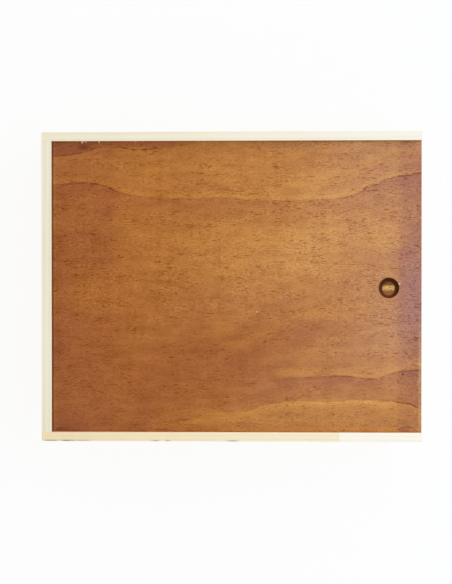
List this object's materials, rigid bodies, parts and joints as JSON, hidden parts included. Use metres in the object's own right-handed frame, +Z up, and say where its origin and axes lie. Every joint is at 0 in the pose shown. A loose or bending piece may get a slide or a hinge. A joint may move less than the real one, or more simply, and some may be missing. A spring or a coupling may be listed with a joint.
{
  "type": "wooden wine box",
  "caption": "Flat rectangular pale wood box with a stained plywood lid that slides out along grooves; dividers and a notched neck rest hold bottles lying side by side.",
  "frame": {"origin": "centre of the box's footprint, on the underside of the base", "axes": "+X along the bottles, towards the open end that the lid slides out of; +Y across the bottles, towards the back wall; +Z up, through the lid"},
  "size_m": [0.35, 0.285, 0.1],
  "materials": {
    "pale_pine": "bare planed pine, pale cream, matt",
    "warm_pine": "bare planed pine, finger jointed, warmer cream, matt",
    "poplar_plywood": "bare sanded poplar plywood, matt",
    "stained_plywood": "plywood stained warm brown under a thin satin varnish",
    "steel_nail": "bright steel, slightly dulled"
  },
  "bodies": {
    "box": {"back_wall": "pale_pine", "front_wall": "warm_pine", "closed_end_wall": "pale_pine", "open_end_wall": "pale_pine", "base_panel": "poplar_plywood", "back_divider": "poplar_plywood", "front_divider": "poplar_plywood", "neck_rest": "poplar_plywood", "back_wall_nails": "steel_nail", "front_wall_nails": "steel_nail", "base_nails": "steel_nail"},
    "lid": {"sliding_lid": "stained_plywood"}
  },
  "joints": [
    {"name": "lid_slide", "type": "slide", "parent": "box", "child": "lid", "axis": [1, 0, 0], "range_m": [0, 0.35]}
  ]
}
